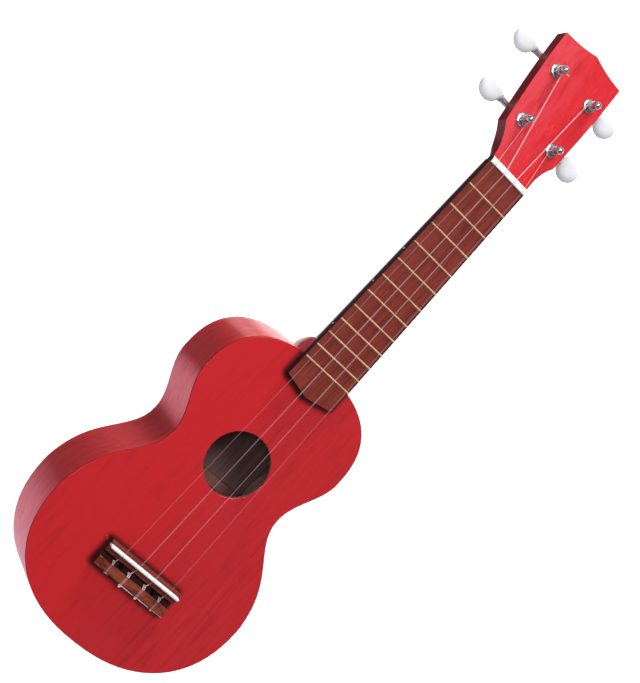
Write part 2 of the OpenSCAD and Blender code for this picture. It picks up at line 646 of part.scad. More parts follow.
// String routes.
wind_n0 = 3.4;
wind_step = 15;
function wind_pitch(i) = str_d[i] + 0.48;
function wind_r(i) = waist_r + str_d[i] / 2 + 0.08;
function nut_pt(i) = [nut_x(i), nut_y + nut_bend, nut_z + str_d[i] / 2];
saddle_bend = 19;
function crest_r(i) = saddle_t / 2 + str_d[i] / 2 + 0.02;
function saddle_pt(i) = [
    saddle_x(i),
    saddle_y - crest_r(i) * tan(saddle_bend),
    saddle_z - saddle_t / 2 + crest_r(i)
];
// Direction from the nut that touches the winding on the side of the centre line, and its first angle.
function post_side(i) = i < 2 ? -1 : 1;
function lead_in(i) = let (q = from_head(nut_pt(i)), d = [post_x[i] - q.x, post_s[i] - q.y])
    atan2(d.y, d.x) + post_side(i) * asin(wind_r(i) / norm(d));
function wind_a0(i) = lead_in(i) + post_side(i) * 90;
function wind_pt(i, a) = to_head(
    post_x[i] + wind_r(i) * cos(wind_a0(i) - post_side(i) * a),
    post_s[i] + wind_r(i) * sin(wind_a0(i) - post_side(i) * a),
    wind_n0 + wind_pitch(i) * a / 360
);
function post_pt(i) = wind_pt(i, 0);
function winding(i) = [for (a = [0:wind_step:360 * wind_turns]) wind_pt(i, a)];
// The knot: back through the block, over it, under the standing string and over it again to the tail.
tail_len = [2.2, saddle_pitch - 2.4, saddle_pitch - 2.4, 9];
function knot(i) = let (d = str_d[i], x = saddle_x(i), o = d / 2 + 0.08, g = d / 2 + 0.3, h = d + 0.55) [
    [x + g + tail_len[i], tail_y - o, tie_z - 1.2],
    [x + g, tail_y - o, tie_z - 1.2],
    [x + g, tail_y - o, tie_z + o],
    [x + g, tie_y + o, tie_z + o],
    [x + h, tie_y + 1.9, bore_z + 1.2],
    [x + h, tie_y + 2.3, bore_z + 0.05],
    [x - h, tie_y + 2.3, bore_z + 0.05],
    [x - h, tie_y + 1.9, bore_z + 1.2],
    [x - g, tie_y + o, tie_z + o],
    [x - g, tail_y - o, tie_z + o],
    [x, tail_y - o - 0.5, bore_z],
    [x, tie_y - 0.6, bore_z]
];
knot_ease = [0, 0.5, 0.5, 0.7, 0.5, 0.5, 0.5, 0.5, 0.7, 0.6, 0.7, 0.5];
function string_route(i) = concat(
    route(
        concat(knot(i), [saddle_pt(i), nut_pt(i), post_pt(i)]),
        concat(knot_ease, [crest_r(i) * tan(saddle_bend), 1.2, 0])
    ),
    [for (p = winding(i)) if (norm(p - post_pt(i)) > 0.01) p]
);
function least_gap(i) = let (w = winding(i), m = len(w) - 1, far = 180 / wind_step)
    min([for (a = [0:m]) for (b = [a + far:1:m]) norm(w[a] - w[b])]) - str_d[i];
module cord(i) tube(string_route(i), str_d[i] / 2);
module string_g() color(white) cord(0);
module string_c() color(white) cord(1);
module string_e() color(white) cord(2);
module string_a() color(white) cord(3);
echo("least gap in the windings", [for (i = [0:3]) least_gap(i)]);

soundboard();
back_plate();
rib_bass();
rib_treble();
neck_block();
tail_block();
lining_top_bass();
lining_top_treble();
lining_back_bass();
lining_back_treble();
brace_top_upper();
brace_top_lower();
bridge_patch();
brace_back_waist();
brace_back_lower();
neck();
fretboard();
frets();
side_dots();
nut();
bridge();
bridge_screws();
saddle();
tuner_bushing_g();
tuner_bushing_c();
tuner_bushing_e();
tuner_bushing_a();
tuner_post_g();
tuner_post_c();
tuner_post_e();
tuner_post_a();
tuner_plate_g();
tuner_plate_c();
tuner_plate_e();
tuner_plate_a();
tuner_worm_g();
tuner_worm_c();
tuner_worm_e();
tuner_worm_a();
tuner_button_g();
tuner_button_c();
tuner_button_e();
tuner_button_a();
tuner_gear_g();
tuner_gear_c();
tuner_gear_e();
tuner_gear_a();
tuner_gear_screw_g();
tuner_gear_screw_c();
tuner_gear_screw_e();
tuner_gear_screw_a();
tuner_screws();
string_g();
string_c();
string_e();
string_a();
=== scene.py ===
"""Looks of a red soprano ukulele lying on its back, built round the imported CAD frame."""

import json
import math

import bpy
from mathutils import Matrix, Vector


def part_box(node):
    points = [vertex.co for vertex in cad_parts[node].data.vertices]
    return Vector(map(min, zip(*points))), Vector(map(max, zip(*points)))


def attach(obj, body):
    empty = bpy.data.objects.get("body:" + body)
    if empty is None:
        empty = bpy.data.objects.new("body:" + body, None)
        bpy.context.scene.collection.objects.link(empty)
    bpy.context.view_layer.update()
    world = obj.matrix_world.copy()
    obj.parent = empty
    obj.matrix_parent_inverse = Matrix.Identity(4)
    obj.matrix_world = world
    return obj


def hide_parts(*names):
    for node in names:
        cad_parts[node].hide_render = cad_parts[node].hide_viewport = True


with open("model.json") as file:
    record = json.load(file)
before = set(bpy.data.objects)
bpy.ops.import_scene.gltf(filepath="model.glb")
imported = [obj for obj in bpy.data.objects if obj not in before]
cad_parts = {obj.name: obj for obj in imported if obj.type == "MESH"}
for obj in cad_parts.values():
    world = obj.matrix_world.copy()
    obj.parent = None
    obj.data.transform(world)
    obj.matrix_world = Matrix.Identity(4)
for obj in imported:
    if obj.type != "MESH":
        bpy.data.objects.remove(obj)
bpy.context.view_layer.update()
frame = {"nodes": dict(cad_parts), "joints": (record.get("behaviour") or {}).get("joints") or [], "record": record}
nodes = frame["nodes"]
joints = {joint["name"]: joint for joint in frame["joints"]}
scene = bpy.context.scene
MM = 0.001


def box(name):
    """Lowest and highest corner of a CAD node, in millimetres."""
    low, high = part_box(name)
    return low / MM, high / MM


# Places from the frame, in millimetres
nut_low, nut_high = box("nut")
saddle_low, saddle_high = box("saddle")
bridge_low, bridge_high = box("bridge")
board_low, board_high = box("fretboard")
NUT_Y = nut_low.y
NUT_END = nut_high.y
NUT_TOUCH = NUT_Y + 1.4  # where a string bends over the nut
NUT_SLOT = 0.25
NUT_Z = nut_high.z - NUT_SLOT
SADDLE_Y = (saddle_low.y + saddle_high.y) / 2
SADDLE_Z = saddle_high.z
SADDLE_R = (saddle_high.y - saddle_low.y) / 2
DEPTH = box("soundboard")[1].z
TIE_WIDTH = 6.6  # of the block at the bridge's tail, through which the strings are tied
TIE_Z = bridge_high.z
TAIL_Y = bridge_low.y
TIE_Y = TAIL_Y + TIE_WIDTH
KNOT_END = TIE_Y + 5.0
LIP_Y = SADDLE_Y - 4.0  # the bridge is painted darker from here on, a painted shade
BORE_Z = DEPTH + 4.2
BOARD_END = board_low.y - 0.5
BOARD_TAPER = 0.01827
BOARD_RIM = nut_high.x + NUT_Y * BOARD_TAPER  # the treble edge, drawn on to Y = 0
HEEL_END = box("neck")[0].y + 13.7
openings = {opening["name"]: opening["box_m"] for opening in frame["record"]["physics"]["openings"]}
hole_low, hole_high = (Vector(corner) / MM for corner in openings["sound_hole"])
HOLE_R = 22.5
HOLE_CENTRE = ((hole_low.x + hole_high.x) / 2, (hole_low.y + hole_high.y) / 2, DEPTH - 1.4)
EDGE = 0.7  # how deep the plates' broken edges reach

# Strings, from the bass side, in millimetres
STRINGS = "gcea"
THICK = {"g": 0.62, "c": 0.90, "e": 0.80, "a": 0.62}
SADDLE_PITCH = 13.6
SADDLE_MIDDLE = 0.5
NUT_PITCH = 9.0
NUT_MIDDLE = 1.8
SADDLE_BEND = math.radians(19)
WAIST_R = 2.2  # of a post, where the string winds
WIND_START = 3.4
WIND_TURNS = 2.4
WIND_GAP = 0.48
WIND_STEPS = 116
HOLE_HEIGHT = 7.0  # of a post's cross hole, above the head's face
NUT_EASE = 1.2
CLEARANCE = 0.08
SADDLE_GAP = 0.02
CORD_SHY = 0.01  # keeps a cord within the box of the CAD string
LUMP_SHIFT = 0.3
TAIL = {"g": 2.2, "c": 11.6, "e": 11.6, "a": 9.5}
LUMP_TURNS = {"c": 2.2, "e": 1.4, "a": 1.4}
END_REACH = {"g": 4.4, "c": 6.2, "e": 6.2, "a": 4.4}


# Camera: above the soundboard, off to the bass side, rolled so that the neck runs to the upper right
def add_camera():
    data = bpy.data.cameras.new("camera")
    data.sensor_width = 36
    data.lens = 90.3
    cam = bpy.data.objects.new("camera", data)
    place = (-0.42657, 0.09777, 1.08585)
    right = Vector((0.67734, 0.67504, 0.29245))
    up = Vector((-0.63521, 0.73718, -0.23037))
    back = Vector((-0.37110, -0.02973, 0.92812))
    turn = Matrix((right, up, back)).transposed().to_4x4()
    cam.matrix_world = Matrix.Translation(place) @ turn
    scene.collection.objects.link(cam)
    scene.camera = cam


# Node graphs
def add(tree, kind, sets=None, **inputs):
    """A shader node; its inputs are constants or the sockets that feed them.

    An input is called by its name, with _ for a space, or by i and its number.
    """
    node = tree.nodes.new("ShaderNode" + kind)
    for key, value in (sets or {}).items():
        setattr(node, key, value)
    for key, value in inputs.items():
        numbered = key[1:].isdigit()
        socket = node.inputs[int(key[1:])] if numbered else node.inputs[key.replace("_", " ")]
        if isinstance(value, bpy.types.NodeSocket):
            tree.links.new(value, socket)
        else:
            socket.default_value = value
    return node


def ramp(tree, fac, stops):
    """A colour ramp over stops of (place, colour)."""
    node = add(tree, "ValToRGB", Fac=fac)
    node.color_ramp.interpolation = "EASE"
    while len(node.color_ramp.elements) < len(stops):
        node.color_ramp.elements.new(0.5)
    for element, (place, colour) in zip(node.color_ramp.elements, stops):
        element.position = place
        element.color = (*colour, 1)
    return node.outputs["Color"]


def grey(tree, fac, stops):
    return ramp(tree, fac, [(place, (value, value, value)) for place, value in stops])


def mix(tree, fac, a, b, blend="MIX"):
    """Colour a turned into colour b by fac, which are inputs 6, 7 and 0 of a Mix node for colours."""
    node = add(tree, "Mix", {"data_type": "RGBA", "blend_type": blend, "clamp_factor": True})
    for i, value in ((0, fac), (6, a), (7, b)):
        if isinstance(value, bpy.types.NodeSocket):
            tree.links.new(value, node.inputs[i])
        else:
            node.inputs[i].default_value = (*value, 1) if i else value
    return node.outputs[2]


def math_node(tree, operation, a, b=0.0):
    return add(tree, "Math", {"operation": operation}, i0=a, i1=b).outputs[0]


def part_of(tree, vector, i):
    """The part of a vector along X, Y or Z, for i = 0, 1 or 2."""
    return add(tree, "SeparateXYZ", Vector=vector).outputs[i]


def noise(tree, coord, size, detail=3.0, roughness=0.5, distortion=0.0):
    """Noise whose features are about size millimetres along X, Y and Z."""
    place = add(tree, "Mapping", Vector=coord, Scale=tuple(1 / (s * MM) for s in size)).outputs[0]
    texture = add(
        tree, "TexNoise", Vector=place, Scale=1.0, Detail=detail, Roughness=roughness, Distortion=distortion
    )
    return texture.outputs["Fac"]


def start(name):
    """A new material: itself, its node tree, its Principled shader and its coordinates."""
    material = bpy.data.materials.new(name)
    material.use_nodes = True
    tree = material.node_tree
    return material, tree, tree.nodes["Principled BSDF"], add(tree, "TexCoord").outputs


def bump(tree, bsdf, height, distance, strength):
    node = add(tree, "Bump", Height=height, Distance=distance * MM, Strength=strength)
    tree.links.new(node.outputs[0], bsdf.inputs["Normal"])


# Stained wood
SOCKETS = {"colour": "Base Color", "rough": "Roughness", "shine": "Metallic", "coat": "Coat Weight"}


def cover(tree, mask, look, **parts):
    """Turns parts of a look into other values under mask; a number stands for a grey."""
    for part, value in parts.items():
        if isinstance(value, float):
            value = (value, value, value)
        look[part] = mix(tree, mask, look[part], value)


def painted_shadow_nearness(tree, at, shadow_seats, reach):
    """1 at the foot of the pieces that stand on a plate, falling to 0 at reach millimetres.

    A seat is (centre, half size, vee), in millimetres, where vee is the slope of a pointed end. The result masks a
    painted shadow round each foot.
    """
    x, y, _ = add(tree, "SeparateXYZ", Vector=at).outputs
    near = 0.0
    for (cx, cy), (hx, hy), vee in shadow_seats:
        u = math_node(tree, "ABSOLUTE", math_node(tree, "SUBTRACT", x, cx * MM))
        v = math_node(tree, "SUBTRACT", y, cy * MM)
        v = math_node(tree, "SUBTRACT", v, math_node(tree, "MULTIPLY", u, vee))
        u = math_node(tree, "MAXIMUM", math_node(tree, "SUBTRACT", u, hx * MM))
        v = math_node(tree, "MAXIMUM", math_node(tree, "SUBTRACT", math_node(tree, "ABSOLUTE", v), hy * MM))
        apart = add(tree, "CombineXYZ", X=u, Y=v).outputs[0]
        gap = add(tree, "VectorMath", {"operation": "LENGTH"}, i0=apart).outputs["Value"]
        close = math_node(tree, "SUBTRACT", 1.0, math_node(tree, "DIVIDE", gap, reach * MM))
        near = math_node(tree, "MAXIMUM", near, close)
    return grey(tree, near, [(0.0, 0.0), (1.0, 1.0)])


def along_y(across, length):
    """Size of a noise that is drawn out along the grain."""
    return across, length, across


def stain(tree, at, tones, painted_bass_light, metallic, lacquer):
    """The look of red stain over straight grain under lacquer, and the height of its pores.

    thin is a tone painted over the bass side as painted light: lighter on the top, a pinker painted sheen on the
    neck and head.
    """
    cloud = noise(tree, at, along_y(24, 90), 3, 0.6, 0.5)
    band = noise(tree, at, along_y(4.5, 42), 4, 0.62, 0.8)
    grain = noise(tree, at, along_y(1.0, 26), 3, 0.6, 0.4)
    fleck = noise(tree, at, along_y(1.3, 9), 2, 0.5, 0.3)
    stroke = noise(tree, at, along_y(7, 38), 3, 0.6, 0.6)
    colour = ramp(tree, band, [(0.25, tones[0]), (0.5, tones[1]), (0.78, tones[2])])
    colour = mix(tree, grey(tree, cloud, [(0.35, 0.0), (0.7, 0.6)]), colour, tones[1])
    # Painted light over the bass side
    if painted_bass_light:
        across = math_node(tree, "DIVIDE", part_of(tree, at, 0), 60 * MM)
        across = math_node(tree, "ADD", across, stroke)
        colour = mix(tree, grey(tree, across, [(0.1, 0.8), (0.7, 0.0)]), colour, painted_bass_light)
    colour = mix(tree, grey(tree, stroke, [(0.52, 0.0), (0.75, 0.5)]), colour, tones[0])
    colour = mix(tree, grey(tree, grain, [(0.5, 0.0), (0.8, 0.26)]), colour, tones[0])
    colour = mix(tree, grey(tree, fleck, [(0.62, 0.0), (0.78, 0.34)]), colour, tones[0])
    look = {
        "colour": colour,
        "rough": grey(tree, band, [(0.3, 0.44), (0.7, 0.36)]),
        "shine": grey(tree, grain, [(0.3, metallic), (0.7, metallic * 0.9)]),
        "coat": grey(tree, cloud, [(0.3, lacquer), (0.7, lacquer * 0.95)]),
    }
    return look, math_node(tree, "ADD", grain, fleck)


def shade_sides(tree, at, facing, look, tone):
    """Painted shade: faces that look sideways, beyond the heel, in a duller tone with no metal sheen and little
    lacquer.
    """
    turned = grey(tree, math_node(tree, "ABSOLUTE", facing), [(0.55, 1.0), (0.9, 0.0)])
    past = math_node(tree, "GREATER_THAN", part_of(tree, at, 1), HEEL_END * MM)
    cover(tree, math_node(tree, "MULTIPLY", turned, past), look, colour=tone, shine=0.0, coat=0.1)


def dark_edge(tree, at, facing, look, height, tone):
    """The broken edge of a plate at a height in millimetres, where stain pools."""
    seam = math_node(tree, "COMPARE", part_of(tree, at, 2), height * MM)
    seam.node.inputs[2].default_value = 0.75 * MM
    turned = grey(tree, math_node(tree, "ABSOLUTE", facing), [(0.8, 0.8), (0.97, 0.0)])
    cover(tree, math_node(tree, "MULTIPLY", seam, turned), look, colour=tone, shine=0.0, coat=0.0)


def bare_side(tree, coord, facing, look, bare, tones):
    """The side that was never stained.

    bare is +1 for up, -1 for down with the wall of the hole, or "within" for the inside of the sound box.
    """
    at = coord["Object"]
    raw = ramp(tree, noise(tree, at, along_y(1.6, 80), 4, 0.6), [(0.3, tones[0]), (0.7, tones[1])])
    if bare == "within":
        outward = add(tree, "VectorMath", {"operation": "MULTIPLY"}, i0=at, i1=(1, 0.3, 0))
        outward = outward.outputs["Vector"]
        away = add(tree, "VectorMath", {"operation": "DOT_PRODUCT"}, i0=coord["Normal"], i1=outward)
        mask = math_node(tree, "LESS_THAN", away.outputs["Value"], 0)
    else:
        mask = math_node(tree, "GREATER_THAN", math_node(tree, "MULTIPLY", facing, bare), 0.7)
    if bare == -1:
        centre = tuple(v * MM for v in HOLE_CENTRE)
        reach = add(tree, "VectorMath", {"operation": "DISTANCE"}, i0=at, i1=centre).outputs["Value"]
        wall = math_node(tree, "LESS_THAN", reach, (HOLE_R + 0.1) * MM)
        mask = math_node(tree, "MAXIMUM", mask, wall)
        raw = mix(tree, wall, raw, HOLE_WALL)
    cover(tree, mask, look, colour=raw, rough=0.8, shine=0.0, coat=0.0)


def stained_wood(
    name, tones, metallic=0.3, lacquer=1.0, painted_bass_light=None, shadow_seats=(), sides=None, edge=None,
    bare=None, unstained=None,
):
    """Red stain under a gloss lacquer.

    seats are the feet of pieces glued on, round which a shadow is painted; sides is the tone of the painted shade
    of shade_sides, edge the height of dark_edge, and bare the side of bare_side, with its unstained tones.
    """
    material, tree, bsdf, coord = start(name)
    at = coord["Object"]
    look, pores = stain(tree, at, tones, painted_bass_light, metallic, lacquer)
    facing = part_of(tree, coord["Normal"], 2)
    # Painted shadow round the feet of the bridge and of the fretboard's end
    if shadow_seats:
        cover(tree, painted_shadow_nearness(tree, at, shadow_seats, 5.0), look, colour=tuple(t * 0.25 for t in tones[0]))
    # Painted shade on faces that look sideways
    if sides:
        shade_sides(tree, at, facing, look, sides)
    if edge:
        dark_edge(tree, at, facing, look, edge, tuple(t * 0.3 for t in tones[0]))
    if bare:
        bare_side(tree, coord, facing, look, bare, unstained)
    for part, value in look.items():
        tree.links.new(value, bsdf.inputs[SOCKETS[part]])
    bsdf.inputs["Coat Roughness"].default_value = 0.09
    bsdf.inputs["Coat IOR"].default_value = 1.5
    bsdf.inputs["Specular IOR Level"].default_value = 0.15
    bump(tree, bsdf, pores, 0.012, 0.4)
    return material


# Other materials
def plain_wood(
    name, tones, across=1.2, length=45, axis=1, rough=0.55, sheen=0.3, sides=None, shade_below=None,
    shade_past=None, shade_line=None,
):
    """Unstained or dark wood with open pores along its grain.

    sides is the tone of a painted shade on the faces that look sideways and on all that lies below the height
    deep; lip is the place along Y past which the wood is painted darker, as shade; rim is the treble edge of a
    tapered board, painted dark as its sides as a shade line, given as its place at Y = 0 and its taper. All places
    are in millimetres.
    """
    material, tree, bsdf, coord = start(name)
    at = coord["Object"]
    size = tuple(length if i == axis else across for i in range(3))
    patch = noise(tree, at, tuple(s * 3 for s in size), 2)
    grain = noise(tree, at, size, 4, 0.6, 0.4)
    pores = noise(tree, at, tuple(s * 0.3 for s in size), 2, 0.6)
    colour = ramp(tree, grain, [(0.25, tones[0]), (0.5, tones[1]), (0.75, tones[2])])
    colour = mix(tree, grey(tree, patch, [(0.35, 0.0), (0.65, 0.6)]), colour, tones[2])
    colour = mix(tree, grey(tree, pores, [(0.58, 0.0), (0.74, 0.6)]), colour, tones[0])
    # Painted shade on the front of the bridge
    if shade_past:
        past = math_node(tree, "GREATER_THAN", part_of(tree, at, 1), shade_past * MM)
        colour = mix(tree, math_node(tree, "MULTIPLY", past, 0.75), colour, tones[1])
    # Painted shade line along the treble edge
    if shade_line:
        place, taper = shade_line
        out = math_node(tree, "MULTIPLY", part_of(tree, at, 1), taper)
        out = math_node(tree, "ADD", part_of(tree, at, 0), out)
        out = math_node(tree, "DIVIDE", out, place * MM)
        line = grey(tree, out, [(1 - 1.2 / place, 0.0), (1 - 0.7 / place, 0.85)])
        colour = mix(tree, line, colour, sides)
    # Painted shade on the sideways faces and on all below the height deep
    if sides:
        dim = grey(tree, part_of(tree, coord["Normal"], 2), [(0.25, 1.0), (0.55, 0.0)])
        if shade_below:
            low = math_node(tree, "LESS_THAN", part_of(tree, at, 2), shade_below * MM)
            dim = math_node(tree, "MAXIMUM", dim, low)
        colour = mix(tree, dim, colour, sides)
    tree.links.new(colour, bsdf.inputs["Base Color"])
    matt = grey(tree, grain, [(0.3, rough + 0.08), (0.7, rough - 0.06)])
    tree.links.new(matt, bsdf.inputs["Roughness"])
    bsdf.inputs["Specular IOR Level"].default_value = sheen
    bump(tree, bsdf, math_node(tree, "SUBTRACT", grain, pores), 0.05, 0.5)
    return material


def metal(name, tones, rough, streak=(2.0, 2.0, 2.0), depth=0.01, metallic=1.0):
    """Plated or bare metal with faint streaks and handling marks; on the worm shafts the dark streaks are painted
    reflections.
    """
    material, tree, bsdf, coord = start(name)
    marks = noise(tree, coord["Object"], streak, 3, 0.5)
    colour = ramp(tree, marks, [(0.3, tones[0]), (0.7, tones[1])])
    tree.links.new(colour, bsdf.inputs["Base Color"])
    tree.links.new(grey(tree, marks, [(0.3, rough * 0.8), (0.7, rough * 1.2)]), bsdf.inputs["Roughness"])
    bsdf.inputs["Metallic"].default_value = metallic
    bump(tree, bsdf, marks, depth, 0.4)
    return material


def plastic(name, tones, rough, glow, radius=1.0, ends=None):
    """Moulded plastic with faint clouding.

    glow lets light spread under its skin, over radius millimetres; ends is the tone of a painted shade on its ends
    across X.
    """
    material, tree, bsdf, coord = start(name)
    at = coord["Object"]
    cloud = noise(tree, at, (3.0, 3.0, 3.0), 3, 0.6)
    skin = noise(tree, at, (0.25, 0.25, 0.25), 2, 0.5)
    colour = ramp(tree, cloud, [(0.3, tones[0]), (0.7, tones[1])])
    if ends:
        across = math_node(tree, "ABSOLUTE", part_of(tree, coord["Normal"], 0))
        colour = mix(tree, math_node(tree, "GREATER_THAN", across, 0.6), colour, ends)
    tree.links.new(colour, bsdf.inputs["Base Color"])
    tree.links.new(grey(tree, cloud, [(0.3, rough + 0.05), (0.7, rough - 0.05)]), bsdf.inputs["Roughness"])
    bsdf.inputs["Subsurface Weight"].default_value = glow
    bsdf.inputs["Subsurface Radius"].default_value = (1, 1, 1)
    bsdf.inputs["Subsurface Scale"].default_value = radius * MM
    bump(tree, bsdf, skin, 0.01, 0.3)
    return material


def nylon(name, body):
    """Clear nylon: it shows what lies under it, has a bright skin, and is cloudy where it is tied.

    body is how much more it covers than a string of middling thickness.
    """
    material, tree, bsdf, coord = start(name)
    at = coord["Object"]
    cloud = noise(tree, at, (0.6, 6.0, 0.6), 2)
    colour = ramp(tree, cloud, [(0.3, (0.94, 0.62, 0.69)), (0.7, (0.98, 0.72, 0.78))])
    tree.links.new(colour, bsdf.inputs["Base Color"])
    tree.links.new(grey(tree, cloud, [(0.3, 0.48), (0.7, 0.42)]), bsdf.inputs["Roughness"])
    along = part_of(tree, at, 1)
    clear = grey(tree, cloud, [(0.3, 0.20), (0.7, 0.26)])
    # How much the string covers before each place along Y, from the nut to the bridge's tail. The higher cover
    # over the head, set above, is a painted highlight; over the fretboard the cover is also higher than over the
    # body
    stretches = ((NUT_END, 0.11), (BOARD_END, 0.065), (KNOT_END, 0.55), (TIE_Y, 0.12), (TAIL_Y, 0.7))
    for place, share in stretches:
        before = math_node(tree, "LESS_THAN", along, place * MM)
        clear = mix(tree, before, clear, (share, share, share))
    tree.links.new(math_node(tree, "MULTIPLY", clear, body), bsdf.inputs["Alpha"])
    bsdf.inputs["Metallic"].default_value = 0.25
    return material


# Tones, from dark to light, and the finishes made from them
TOP_RED = ((0.43, 0.015, 0.021), (0.615, 0.023, 0.030), (0.72, 0.031, 0.038))
# Painted light on the bass side of the top
TOP_BASS_LIGHT = (0.67, 0.0185, 0.025)
BODY_RED = ((0.47, 0.012, 0.018), (0.62, 0.018, 0.025), (0.71, 0.024, 0.031))
NECK_RED = ((0.42, 0.009, 0.015), (0.595, 0.015, 0.024), (0.73, 0.050, 0.063))
# Painted shade on the sideways faces of the neck and head
NECK_SIDE_SHADE = (0.14, 0.008, 0.009)
# Painted sheen on the bass side of the neck and head
NECK_BASS_SHEEN = (0.62, 0.052, 0.068)
SPRUCE = ((0.55, 0.42, 0.34), (0.74, 0.60, 0.50))
MAHOGANY = ((0.165, 0.088, 0.082), (0.25, 0.145, 0.135))
HOLE_WALL = (0.13, 0.06, 0.055)
PALE = ((0.36, 0.24, 0.17), (0.54, 0.39, 0.29), (0.66, 0.50, 0.39))
BRACE = ((0.14, 0.055, 0.042), (0.22, 0.090, 0.066), (0.29, 0.125, 0.092))
BOARD = ((0.055, 0.010, 0.008), (0.17, 0.025, 0.017), (0.24, 0.040, 0.025))
# Painted shade on the fretboard's sides and along its treble edge
BOARD_SIDE_SHADE = (0.016, 0.007, 0.007)
BRIDGE = ((0.030, 0.007, 0.006), (0.13, 0.024, 0.018), (0.34, 0.080, 0.039))
# Painted shade on the bridge's sides and in its channel
BRIDGE_SIDE_SHADE = (0.036, 0.012, 0.010)
WHITE = ((0.77, 0.74, 0.755), (0.84, 0.81, 0.82))
# Painted shade on the nut's ends
NUT_END_SHADE = (0.035, 0.008, 0.009)
BUTTON = ((0.615, 0.62, 0.65), (0.655, 0.66, 0.69))
FRET = ((0.60, 0.38, 0.22), (0.74, 0.48, 0.30))
DARK = ((0.010, 0.012, 0.014), (0.03, 0.03, 0.034))
CHROME = ((0.42, 0.40, 0.43), (0.60, 0.58, 0.62))
# The dark streaks along the worm shafts are painted reflections
COLLAR_STREAK_REFLECTION = ((0.06, 0.06, 0.065), (0.66, 0.65, 0.65))
STEEL = ((0.52, 0.52, 0.54), (0.66, 0.66, 0.67))
BRASS = ((0.55, 0.38, 0.15), (0.74, 0.55, 0.25))
bridge_middle = (bridge_low + bridge_high) / 2
board_middle = (board_low + board_high) / 2
# Painted shadows on the top round the bridge and the fretboard's pointed end, each shifted a little towards the
# bass side and the tail, where its shadow falls
BRIDGE_SHADOW = ((bridge_middle.x - 0.7, bridge_middle.y - 0.75), (bridge_high.x - 0.3, 9.6), 0.0)
BOARD_HALF = board_high.x - board_middle.x
BOARD_SHADOW = ((board_middle.x - 0.4, board_low.y + 11.4), (BOARD_HALF - 0.35, 12.0), 0.22)
FINISH = {
    "top": stained_wood(
        "stained_top", TOP_RED, painted_bass_light=TOP_BASS_LIGHT, shadow_seats=(BRIDGE_SHADOW, BOARD_SHADOW), edge=DEPTH - EDGE, bare=-1,
        unstained=SPRUCE,
    ),
    "back": stained_wood("stained_back", BODY_RED, edge=EDGE, bare=1, unstained=MAHOGANY),
    "rib": stained_wood("stained_rib", BODY_RED, 0.6, 0.21, bare="within", unstained=SPRUCE),
    "neck": stained_wood("stained_neck", NECK_RED, painted_bass_light=NECK_BASS_SHEEN, sides=NECK_SIDE_SHADE),
    "pale": plain_wood("pale_wood", PALE, rough=0.75),
    "brace": plain_wood("brace_wood", BRACE, rough=0.75),
    "board": plain_wood(
        "fretboard_wood", BOARD, 1.3, 18, sheen=0.15, sides=BOARD_SIDE_SHADE, shade_line=(BOARD_RIM, BOARD_TAPER)
    ),
    "bridge": plain_wood(
        "bridge_wood", BRIDGE, 1.8, 5, 0, sheen=0.05, sides=BRIDGE_SIDE_SHADE, shade_below=BORE_Z, shade_past=LIP_Y
    ),
    "fret": metal("fret_wire", FRET, 0.45, (9, 9, 9), 0.004, 0.5),
    "white": plastic("white_plastic", WHITE, 0.38, 0.3),
    "nut": plastic("nut_plastic", WHITE, 0.38, 0.3, ends=NUT_END_SHADE),
    "button": plastic("button_plastic", BUTTON, 0.6, 1.0, 8.0),
    "dark": metal("dark_screw", DARK, 0.4),
    "chrome": metal("bright_metal", CHROME, 0.22),
    # Painted reflections as dark streaks along the worm shafts
    "collar": metal("worm_steel", COLLAR_STREAK_REFLECTION, 0.36, (16, 0.6, 0.6), 0.05, 0.55),
    "steel": metal("plated_steel", STEEL, 0.28),
    "brass": metal("gear_brass", BRASS, 0.3),
    "nylon_thin": nylon("nylon_thin", 0.8),
    "nylon_thick": nylon("nylon_thick", 1.35),
}


# CAD nodes that keep their shape
def dress(name, finish, bevel=0.0, angle=30):
    """Shows a CAD node in a finish, its curves smooth and its sharp edges broken by bevel millimetres."""
    piece = nodes[name]
    piece.data.materials.clear()
    piece.data.materials.append(FINISH[finish])
    piece.data.polygons.foreach_set("use_smooth", [True] * len(piece.data.polygons))
    with bpy.context.temp_override(object=piece, active_object=piece):
        bpy.ops.mesh.customdata_custom_splitnormals_clear()
    weld = piece.modifiers.new("weld", "WELD")
    weld.merge_threshold = 0.002 * MM
    if bevel:
        flat = piece.modifiers.new("flat", "DECIMATE")
        flat.decimate_type = "DISSOLVE"
        flat.angle_limit = math.radians(0.2)
        edge = piece.modifiers.new("edge", "BEVEL")
        edge.width = bevel * MM
        edge.segments = 2
        edge.limit_method = "ANGLE"
        edge.angle_limit = math.radians(angle)
        edge.harden_normals = True
    else:
        split = piece.modifiers.new("split", "EDGE_SPLIT")
        split.split_angle = math.radians(angle)
    even = piece.modifiers.new("even", "WEIGHTED_NORMAL")
    even.keep_sharp = True


def dress_all():
    dress("soundboard", "top", 0.5)
    dress("back_plate", "back", 0.5)
    for side in ("bass", "treble"):
        dress("rib_" + side, "rib", 0.25)
        dress("lining_top_" + side, "pale")
        dress("lining_back_" + side, "pale")
    for name in ("neck_block", "tail_block", "brace_top_upper", "brace_top_lower", "bridge_patch"):
        dress(name, "pale")
    for name in ("brace_back_waist", "brace_back_lower"):
        dress(name, "brace", 0.4)
    dress("neck", "neck", 0.5, 40)
    dress("fretboard", "board", 0.25)
    dress("frets", "fret")
    dress("side_dots", "white")
    dress("nut", "nut", 0.12)
    dress("bridge", "bridge", 0.25)
    dress("bridge_screws", "dark", 0.1)
    dress("saddle", "white", 0.0, 50)
    for letter in STRINGS:
        dress("tuner_bushing_" + letter, "chrome")
        dress("tuner_post_" + letter, "chrome")
        dress("tuner_plate_" + letter, "steel", 0.12)
        dress("tuner_worm_" + letter, "collar")
        dress("tuner_button_" + letter, "button")
        dress("tuner_gear_" + letter, "brass")
        dress("tuner_gear_screw_" + letter, "steel")
    dress("tuner_screws", "steel")


